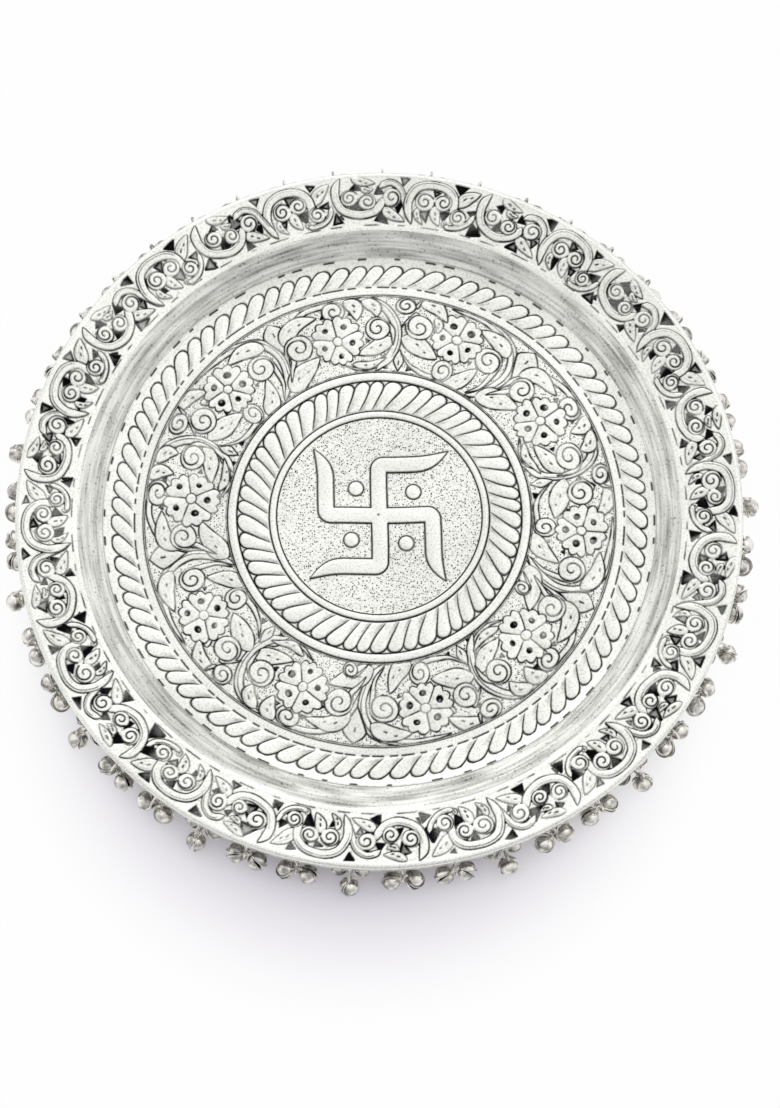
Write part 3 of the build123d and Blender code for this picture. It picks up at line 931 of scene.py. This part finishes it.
def new_material(name):
    """An empty material and its tree."""
    material = bpy.data.materials.new(name)
    material.use_nodes = True
    tree = material.node_tree
    tree.nodes.clear()
    return material, tree


def stains(tree, place, size, detail, least, full, most):
    """A cloud of a given size, and the dark that comes where it is thicker than its least."""
    cloud = node(tree, "ShaderNodeTexNoise", {"Vector": place, "Scale": 1 / size, "Detail": detail})
    dark = node(tree, "ShaderNodeMapRange",
                {"Value": cloud, "From Min": least, "From Max": full, "To Max": most})
    return cloud, dark


def bare_metal(tree, share, first, second, rough, dents):
    """The metal's surface, between two colours, as rough and dented as it is told."""
    tone = node(tree, "ShaderNodeMix", {0: share, 6: colour(first), 7: colour(second)}, data_type="RGBA")
    shader = node(tree, "ShaderNodeBsdfPrincipled",
                  {"Base Color": tone.outputs[2], "Metallic": 1.0, "Roughness": rough, "Normal": dents})
    node(tree, "ShaderNodeOutputMaterial", {"Surface": shader})


def chased_silver():
    """Silver sheet, hammered from behind, chased, blackened and rubbed bright again."""
    # The eye sees white burnished heights, black in every cut, and a ground of small punch marks
    material, tree = new_material("chased oxidised silver")
    place = node(tree, "ShaderNodeTexCoord").outputs["Object"]
    # The dark read here is oxide in the chased lines and hollows, and painted shade on one side of leaves
    # and rope lobes
    patina = node(tree, "ShaderNodeAttribute", attribute_name="patina").outputs["Fac"]
    stipple = node(tree, "ShaderNodeAttribute", attribute_name="stipple").outputs["Fac"]
    # Punch marks about 0.85 mm apart, some deeper than others
    punches = node(tree, "ShaderNodeTexVoronoi", {"Vector": place, "Scale": 1 / (0.85 * MM)}).outputs
    mark = node(tree, "ShaderNodeMapRange",
                {"Value": punches["Distance"], "From Min": 0.56, "From Max": 0.14},
                interpolation_type="SMOOTHSTEP")
    depth = node(tree, "ShaderNodeSeparateColor", {"Color": punches["Color"]})
    depth = node(tree, "ShaderNodeMapRange", {"Value": depth, "From Min": 0.15, "To Max": 0.95})
    mark = node(tree, "ShaderNodeMath", {0: mark, 1: stipple}, operation="MULTIPLY")
    speck = node(tree, "ShaderNodeMath", {0: mark, 1: depth}, operation="MULTIPLY")
    dark = node(tree, "ShaderNodeMath", {0: patina, 1: speck}, operation="MAXIMUM")
    # A breath of tarnish in patches about 30 mm across, then grain of about 0.8 mm left by hammer and acid
    for size, detail, least, most in ((30, 4.0, 0.4, 0.07), (0.8, 3.0, 0.48, 0.2)):
        _, film = stains(tree, place, size * MM, detail, least, full=0.75, most=most)
        dark = node(tree, "ShaderNodeMath", {0: dark, 1: film}, operation="ADD", use_clamp=True)
    # To the eye the black falls off evenly from a line's middle, so a power of what is left sets the tone
    left = node(tree, "ShaderNodeMath", {0: 1.0, 1: dark}, operation="SUBTRACT", use_clamp=True)
    left = node(tree, "ShaderNodeMath", {0: left, 1: 1.85}, operation="POWER")
    rough = node(tree, "ShaderNodeMapRange", {"Value": dark, "To Min": 0.3, "To Max": 0.6})
    # Hammer marks about 3 mm wide, with the punch marks sunk into them
    hammer = node(tree, "ShaderNodeTexNoise", {"Vector": place, "Scale": 1 / (3 * MM), "Detail": 5.0})
    dents = node(tree, "ShaderNodeBump", {"Strength": 0.25, "Distance": 0.06 * MM, "Height": hammer})
    pits = node(tree, "ShaderNodeBump",
                {"Strength": 0.6, "Distance": 0.12 * MM, "Height": mark, "Normal": dents}, invert=True)
    bare_metal(tree, left, "#0E0E10", "#F6F6F0", rough, pits)
    return material


def rubbed_silver():
    """The same sheet left plain and rubbed round and round."""
    # The eye sees soft grey streaks along the ring, duller patches and small pits
    material, tree = new_material("plain rubbed silver")
    place = node(tree, "ShaderNodeTexCoord").outputs["Object"]
    flat = node(tree, "ShaderNodeVectorMath", {0: place, 1: (1, 1, 0)}, operation="MULTIPLY")
    reach = node(tree, "ShaderNodeVectorMath", {0: flat}, operation="LENGTH").outputs["Value"]
    around_way = node(tree, "ShaderNodeVectorMath", {0: flat}, operation="NORMALIZE")
    parts = node(tree, "ShaderNodeSeparateXYZ", {0: around_way}).outputs
    height = node(tree, "ShaderNodeSeparateXYZ", {0: place}).outputs["Z"]
    # Streaks about 1.6 mm wide and 30 mm long
    reach = node(tree, "ShaderNodeMath", {0: reach, 1: height}, operation="ADD")
    reach = node(tree, "ShaderNodeMath", {0: reach, 1: 1 / (1.6 * MM)}, operation="MULTIPLY")
    run = node(tree, "ShaderNodeCombineXYZ", {0: reach, 1: parts[0], 2: parts[1]})
    run = node(tree, "ShaderNodeVectorMath", {0: run, 1: (1.0, 4.0, 4.0)}, operation="MULTIPLY")
    streak, dark = stains(tree, run, size=1.0, detail=3.0, least=0.38, full=0.68, most=0.4)
    # Patches about 6 mm wide and 25 mm long where the rubbing went less deep
    patch = node(tree, "ShaderNodeVectorMath", {0: run, 1: (0.27, 1.3, 1.3)}, operation="MULTIPLY")
    _, patch = stains(tree, patch, size=1.0, detail=6.0, least=0.4, full=0.68, most=0.42)
    dark = node(tree, "ShaderNodeMath", {0: dark, 1: patch}, operation="ADD")
    # Pits left by the hammer, about 1 mm
    _, pit = stains(tree, place, size=MM, detail=2.0, least=0.58, full=0.75, most=0.5)
    dark = node(tree, "ShaderNodeMath", {0: dark, 1: pit}, operation="ADD", use_clamp=True)
    rough = node(tree, "ShaderNodeMapRange", {"Value": streak, "To Min": 0.22, "To Max": 0.42})
    scored = node(tree, "ShaderNodeBump", {"Strength": 0.3, "Distance": 0.03 * MM, "Height": streak})
    bare_metal(tree, dark, "#F3F3EE", "#5F5E59", rough, scored)
    return material


def bell_silver():
    """Stamped silver, worn by the bells' rubbing against each other, with painted shade inside the cups."""
    # The eye sees bright domes with a dark film in patches about 3 mm across, and black mouths
    material, tree = new_material("bright bell silver")
    place = node(tree, "ShaderNodeTexCoord").outputs["Object"]
    # The stored dark is painted shade inside the cups and in their creases; the pellets carry a set darker
    # tone
    patina = node(tree, "ShaderNodeAttribute", attribute_name="patina").outputs["Fac"]
    cloud, film = stains(tree, place, size=3 * MM, detail=4.0, least=0.4, full=0.68, most=0.75)
    dark = node(tree, "ShaderNodeMath", {0: patina, 1: film}, operation="MAXIMUM")
    rough = node(tree, "ShaderNodeMapRange", {"Value": dark, "To Min": 0.14, "To Max": 0.5})
    dents = node(tree, "ShaderNodeBump", {"Strength": 0.2, "Distance": 0.03 * MM, "Height": cloud})
    bare_metal(tree, dark, "#F0EDE6", "#131315", rough, dents)
    return material


def bunch_tree():
    """The tree that hangs a jump ring and three bells, with eyes and pellets, from a bunch's points."""
    tree = bpy.data.node_groups.new("bell bunch", "GeometryNodeTree")
    sizes = {
        "Dome radius": DOME_RADIUS, "Hollow radius": HOLLOW_RADIUS, "Brim radius": BRIM_RADIUS,
        "Brim thickness": BRIM_THICKNESS, "Top below eye": EYE_TO_BELL - BRIM_RADIUS,
        "Neck radius": NECK_RADIUS, "Neck height": NECK_HEIGHT,
        "Neck below eye": EYE_RADIUS + NECK_HEIGHT / 2, "Eye radius": EYE_RADIUS,
        "Eye wire radius": EYE_WIRE / 2, "Pellet radius": PELLET_RADIUS, "Ring radius": RING_RADIUS,
        "Ring wire radius": RING_WIRE / 2,
    }
    inputs = [("Hanging points", "Geometry")] + [(name, "Float") for name in sizes]
    inputs += [(name, "Vector") for name in ("Cup lean", "Ring middle", "Ring turn")]
    inputs.append(("Silver", "Material"))
    for name, kind in inputs:
        tree.interface.new_socket(name, in_out="INPUT", socket_type="NodeSocket" + kind)
    tree.interface.new_socket("Bunch", in_out="OUTPUT", socket_type="NodeSocketGeometry")
    given = node(tree, "NodeGroupInput").outputs
    on_edge = (math.pi / 2, 0, 0)

    # One cup with its dome along Y: a ball with a brim round it, hollowed out and halved
    ball = node(tree, "GeometryNodeMeshUVSphere",
                {"Segments": 20, "Rings": 11, "Radius": given["Dome radius"]})
    width = node(tree, "ShaderNodeMath", {0: given["Brim thickness"], 1: 2.0}, operation="MULTIPLY")
    brim = node(tree, "GeometryNodeMeshCylinder",
                {"Vertices": 28, "Radius": given["Brim radius"], "Depth": width})
    hollow = node(tree, "GeometryNodeMeshUVSphere",
                  {"Segments": 16, "Rings": 9, "Radius": given["Hollow radius"]})
    block = 12 * MM
    other_half = node(tree, "GeometryNodeMeshCube", {"Size": (block, block, block)})
    solids = [node(tree, "GeometryNodeTransform", {"Geometry": shape, "Rotation": on_edge})
              for shape in (ball, brim)]
    cutters = [node(tree, "GeometryNodeTransform",
                    {"Geometry": shape, "Translation": place, "Rotation": on_edge})
               for shape, place in ((hollow, (0, 0, 0)), (other_half, (0, -block / 2, 0)))]
    whole = node(tree, "GeometryNodeMeshBoolean", {"Mesh 2": solids}, operation="UNION")
    cup = node(tree, "GeometryNodeMeshBoolean", {"Mesh 1": whole, "Mesh 2": cutters}, operation="DIFFERENCE")
    # Painted shade: black inside, grey in the corner where dome and brim meet
    spot = node(tree, "GeometryNodeInputPosition")
    reach = node(tree, "ShaderNodeVectorMath", {0: spot}, operation="LENGTH").outputs["Value"]
    deep = node(tree, "ShaderNodeMath", {0: given["Hollow radius"], 1: 1.06}, operation="MULTIPLY")
    inside = node(tree, "ShaderNodeMath", {0: reach, 1: deep}, operation="LESS_THAN")
    inside = node(tree, "ShaderNodeMath", {0: inside, 1: 0.95}, operation="MULTIPLY")
    across = node(tree, "ShaderNodeSeparateXYZ", {0: spot}).outputs["Y"]
    level = node(tree, "ShaderNodeMath", {0: across, 1: given["Brim thickness"], 2: 0.02 * MM},
                 operation="COMPARE")
    low = node(tree, "ShaderNodeMath", {0: given["Dome radius"], 1: 1.03}, operation="MULTIPLY")
    corner = node(tree, "ShaderNodeMath", {0: reach, 1: low}, operation="LESS_THAN")
    for share in (level, 0.7):
        corner = node(tree, "ShaderNodeMath", {0: corner, 1: share}, operation="MULTIPLY")
    dark = node(tree, "ShaderNodeMath", {0: inside, 1: corner}, operation="MAXIMUM")
    cup = node(tree, "GeometryNodeStoreNamedAttribute", {"Geometry": cup, "Name": "patina", "Value": dark})
    # Two cups leaning apart from the bell's top
    below = {}
    for name in ("Brim radius", "Top below eye", "Neck below eye"):
        drop = node(tree, "ShaderNodeMath", {0: given[name], 1: -1.0}, operation="MULTIPLY")
        below[name] = node(tree, "ShaderNodeCombineXYZ", {"Z": drop})
    hung = node(tree, "GeometryNodeTransform", {"Geometry": cup, "Translation": below["Brim radius"]})
    near_cup = node(tree, "GeometryNodeTransform",
                    {"Geometry": hung, "Translation": below["Top below eye"], "Rotation": given["Cup lean"]})
    far_cup = node(tree, "GeometryNodeTransform", {"Geometry": near_cup, "Rotation": (0, 0, math.pi)})
    shell = node(tree, "GeometryNodeJoinGeometry", {0: [near_cup, far_cup]})

    # Neck, the wire eye over it, the jump ring's wire and the loose pellet
    neck = node(tree, "GeometryNodeMeshCylinder",
                {"Vertices": 12, "Depth": given["Neck height"], "Radius": given["Neck radius"]})
    neck = node(tree, "GeometryNodeTransform", {"Geometry": neck, "Translation": below["Neck below eye"]})
    wires = {}
    for kind, steps, sides in (("Eye", 16, 8), ("Ring", 44, 10)):
        path, wire = [node(tree, "GeometryNodeCurvePrimitiveCircle",
                           {"Resolution": count, "Radius": given[name]})
                      for count, name in ((steps, kind + " radius"), (sides, kind + " wire radius"))]
        wires[kind] = node(tree, "GeometryNodeCurveToMesh", {"Curve": path, "Profile Curve": wire})
    eye = node(tree, "GeometryNodeTransform", {"Geometry": wires["Eye"], "Rotation": on_edge})
    hanger = node(tree, "GeometryNodeJoinGeometry", {0: [neck, eye]})
    pellet = node(tree, "GeometryNodeMeshIcoSphere", {"Subdivisions": 2, "Radius": given["Pellet radius"]})
    pellet = node(tree, "GeometryNodeStoreNamedAttribute",
                  {"Geometry": pellet, "Name": "patina", "Value": 0.7})

    # Three of each on the bunch's points, the pellets where they come to lie, and one ring
    points, bunch = given["Hanging points"], []
    for shape, turn_name in ((shell, "shell_turn"), (hanger, "eye_turn")):
        turn = node(tree, "GeometryNodeInputNamedAttribute", {"Name": turn_name}, data_type="FLOAT_VECTOR")
        turn = node(tree, "FunctionNodeEulerToRotation", {0: turn})
        bunch.append(node(tree, "GeometryNodeInstanceOnPoints",
                          {"Points": points, "Instance": shape, "Rotation": turn}))
    place = node(tree, "GeometryNodeInputNamedAttribute", {"Name": "pellet_place"}, data_type="FLOAT_VECTOR")
    low_points = node(tree, "GeometryNodeSetPosition", {"Geometry": points, "Position": place})
    bunch.append(node(tree, "GeometryNodeInstanceOnPoints", {"Points": low_points, "Instance": pellet}))
    ring_turn = {"Translation": given["Ring middle"], "Rotation": given["Ring turn"]}
    bunch.append(node(tree, "GeometryNodeTransform", {"Geometry": wires["Ring"], **ring_turn}))
    together = node(tree, "GeometryNodeJoinGeometry", {0: bunch})
    real = node(tree, "GeometryNodeRealizeInstances", {"Geometry": together})
    done = node(tree, "GeometryNodeSetMaterial", {"Geometry": real, "Material": given["Silver"]})
    node(tree, "NodeGroupOutput", {0: done})
    sockets = {item.name: item.identifier for item in tree.interface.items_tree if item.in_out == "INPUT"}
    return tree, sizes, sockets


def wall_distance(point):
    """How far a point in a bell's hollow lies from the nearer cup, in the frame of the bell's slit."""
    lean, best = math.radians(CUP_LEAN), math.inf
    for side in (1, -1):
        across, up = side * point.y, point.z - BRIM_RADIUS
        across, up = (across * math.cos(lean) + up * math.sin(lean),
                      up * math.cos(lean) - across * math.sin(lean) + BRIM_RADIUS)
        from_axis = math.hypot(point.x, up)
        if across > 0:
            best = min(best, HOLLOW_RADIUS - math.hypot(from_axis, across))
        else:
            best = min(best, math.hypot(HOLLOW_RADIUS - from_axis, across))
    return best


def pellet_drop(shell_turn):
    """How far below its bell's middle a pellet comes to lie."""
    down = -shell_turn[2]
    drop = 0
    while wall_distance(down * (drop + PELLET_STEP)) > PELLET_RADIUS + PELLET_GAP:
        drop += PELLET_STEP
    return drop


def bell_stations():
    """Where each bell's eye rides on the jump ring, and how far out and sideways the bell hangs."""
    level = math.sqrt(HANG ** 2 - BELL_SIDE ** 2)
    back = -math.degrees(math.asin(BELL_BACK / (RING_RADIUS + level)))
    front = math.degrees(math.asin(BELL_FRONT / (RING_RADIUS + HANG)))
    half_step = math.degrees((EYE_WIRE + EYE_GAP) / RING_RADIUS / 2)
    return [(back + half_step, -BELL_BACK, BELL_SIDE), (back - half_step, -BELL_BACK, -BELL_SIDE),
            (front, BELL_FRONT, 0.0)]


def bell_place(station, way):
    """A bell's eye, its turn and its middle in the bunch's own frame."""
    eye_angle, outwards, sideways = station
    turn = math.radians(eye_angle)
    wire_out, wire_up = RING_RADIUS * math.sin(turn), -RING_RADIUS - RING_RADIUS * math.cos(turn)
    drop = math.sqrt(HANG ** 2 - sideways ** 2 - (outwards - wire_out) ** 2)
    wire_point = Vector((way * wire_out, 0, wire_up))
    middle = Vector((way * outwards, sideways, wire_up - drop))
    down = (middle - wire_point).normalized()
    wire_way = Vector((math.cos(turn), 0, way * math.sin(turn)))
    eye_axis = (wire_way - down * wire_way.dot(down)).normalized()
    side = down.cross(eye_axis)
    frame_turn = Matrix((side, (-down).cross(side), -down)).transposed()
    return wire_point + down * EYE_SLACK, frame_turn, middle


def bell_bunch(index, tree, sizes, sockets, silver):
    """One bunch as a plain mesh of its own, hung from its hole in the lip."""
    angle = bunch_angle(index)
    far_side = FAR_FROM < angle % 360 < FAR_TO
    way = 1 if not far_side and index % OUTWARD_EVERY == 0 else -1
    turn = Matrix.Rotation(math.radians(angle), 3, "Z")
    hole = turn @ Vector((HOLE_OUT, 0, HOLE_HEIGHT))
    eyes, eye_turns, shell_turns, pellets = [], [], [], []
    for number, station in enumerate(bell_stations()):
        eye, frame_turn, middle = bell_place(station, way)
        slit = Matrix.Rotation(math.radians(SLIT_TURNS[(index + 2 * number) % len(SLIT_TURNS)]), 3, "Z")
        eyes.append((turn @ eye + hole) * MM)
        eye_turns.append((turn @ frame_turn).to_euler())
        shell_turns.append((turn @ frame_turn @ slit).to_euler())
        drop = pellet_drop(frame_turn @ slit)
        pellets.append((turn @ (middle - Vector((0, 0, drop))) + hole) * MM)
    points = bpy.data.meshes.new("hanging points")
    points.from_pydata(eyes, [], [])
    for mark, values in (("eye_turn", eye_turns), ("shell_turn", shell_turns), ("pellet_place", pellets)):
        layer = points.attributes.new(mark, "FLOAT_VECTOR", "POINT")
        layer.data.foreach_set("vector", np.array(values, np.float32).ravel())
    bunch = bpy.data.objects.new(f"bell_bunch_{index + 1:02d}", points)
    bpy.context.scene.collection.objects.link(bunch)
    hung = bunch.modifiers.new("bunch", "NODES")
    hung.node_group = tree
    for size_name, size in sizes.items():
        hung[sockets[size_name]] = size * MM
    hung[sockets["Cup lean"]] = (math.radians(CUP_LEAN), 0.0, 0.0)
    hung[sockets["Ring middle"]] = tuple((hole - Vector((0, 0, RING_RADIUS))) * MM)
    hung[sockets["Ring turn"]] = (math.pi / 2, 0.0, math.radians(angle))
    hung[sockets["Silver"]] = silver
    make_plain(bunch, hung)
    bunch.data.shade_smooth()
    bunch.data.set_sharp_from_angle(angle=math.radians(38))
    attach(bunch, f"bells_{index + 1:02d}")
    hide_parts(f"bell_cluster_{index + 1:02d}")


def white_studio():
    """White all round, a little greyer on the viewer's side."""
    world = bpy.data.worlds.new("white studio")
    bpy.context.scene.world = world
    world.use_nodes = True
    tree = world.node_tree
    tree.nodes.clear()
    way = node(tree, "ShaderNodeTexCoord").outputs["Generated"]
    way = node(tree, "ShaderNodeSeparateXYZ", {0: way}).outputs["Y"]
    glow = node(tree, "ShaderNodeMapRange",
                {"Value": way, "From Min": -0.95, "From Max": -0.1, "To Min": 0.6, "To Max": 1.0},
                interpolation_type="SMOOTHSTEP")
    rays = node(tree, "ShaderNodeLightPath").outputs
    mirrored = node(tree, "ShaderNodeMath", {0: rays["Is Glossy Ray"], 1: rays["Is Transmission Ray"]},
                    operation="MAXIMUM")
    level = node(tree, "ShaderNodeMapRange", {"Value": mirrored, "To Min": 0.88, "To Max": 1.0})
    power = node(tree, "ShaderNodeMath", {0: glow, 1: level}, operation="MULTIPLY")
    power = node(tree, "ShaderNodeMath", {0: power, 1: rays["Is Camera Ray"]}, operation="MAXIMUM")
    sky = node(tree, "ShaderNodeBackground", {"Color": colour("#FFFFFF"), "Strength": power})
    node(tree, "ShaderNodeOutputWorld", {"Surface": sky})


def hang_lamps():
    """Two broad soft lamps, each turned to the middle of the table."""
    for name, place, size, energy in LAMPS:
        light = bpy.data.lights.new(name, "AREA")
        light.size, light.energy = size, energy
        lamp = bpy.data.objects.new(name, light)
        lamp.location = place
        lamp.rotation_euler = (-Vector(place)).to_track_quat("-Z", "Y").to_euler()
        bpy.context.scene.collection.objects.link(lamp)


def paper_sweep():
    """Matt white paper, as laid under a thing to be photographed."""
    # The eye sees plain white, with a lilac grey in the object's shadow
    material, tree = new_material("white paper sweep")
    rays = node(tree, "ShaderNodeLightPath").outputs
    direct = node(tree, "ShaderNodeMath", {0: rays["Is Camera Ray"], 1: rays["Is Glossy Ray"]},
                  operation="MAXIMUM")
    direct = node(tree, "ShaderNodeMath", {0: direct, 1: rays["Is Transmission Ray"]}, operation="MAXIMUM")
    # The sweep glows white, least under the object's near side, where the shadow falls; there the lilac
    # paper shows as a painted shadow round the traced one
    place = node(tree, "ShaderNodeTexCoord").outputs["Object"]
    away = node(tree, "ShaderNodeVectorMath", {0: place, 1: SHADOW_MIDDLE}, operation="DISTANCE")
    share = node(tree, "ShaderNodeMapRange",
                 {"Value": away.outputs["Value"], "From Min": SHADOW_CORE, "From Max": SHADOW_EDGE,
                  "To Min": 0.15, "To Max": 0.97}, interpolation_type="SMOOTHSTEP")
    share = node(tree, "ShaderNodeMath", {0: direct, 1: share}, operation="MULTIPLY")
    paper = node(tree, "ShaderNodeBsdfDiffuse", {"Color": colour("#ECE5F3")})
    glow = node(tree, "ShaderNodeEmission", {"Color": colour("#FFFFFF"), "Strength": 1.0})
    both = node(tree, "ShaderNodeMixShader", {0: share, 1: paper, 2: glow})
    node(tree, "ShaderNodeOutputMaterial", {"Surface": both})
    return material


def lay_floor():
    """A square of paper under the object."""
    mesh = bpy.data.meshes.new("floor")
    corners = [(x * FLOOR_HALF, y * FLOOR_HALF, 0) for x, y in ((-1, -1), (1, -1), (1, 1), (-1, 1))]
    mesh.from_pydata(corners, [], [(0, 1, 2, 3)])
    floor = bpy.data.objects.new("floor", mesh)
    bpy.context.scene.collection.objects.link(floor)
    mesh.materials.append(paper_sweep())


def set_camera():
    """The photograph's view of the thali, from the near side and well above."""
    scene = bpy.context.scene
    lens = bpy.data.cameras.new("camera")
    lens.lens, lens.sensor_width = LENS, FILM
    camera = bpy.data.objects.new("camera", lens)
    aim, lift = Vector(AIM), math.radians(LIFT)
    camera.location = aim + DISTANCE * Vector((0, -math.cos(lift), math.sin(lift)))
    camera.rotation_euler = (aim - camera.location).to_track_quat("-Z", "Y").to_euler()
    scene.collection.objects.link(camera)
    scene.camera = camera
    scene.view_settings.view_transform = "Standard"


chased, plain, bright = chased_silver(), rubbed_silver(), bell_silver()
make_dish(chased, plain)
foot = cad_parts["foot_ring"]
for slot in foot.material_slots:
    slot.material = plain
tree, sizes, sockets = bunch_tree()
for index in range(BUNCH_COUNT):
    bell_bunch(index, tree, sizes, sockets, bright)
white_studio()
lay_floor()
hang_lamps()
set_camera()
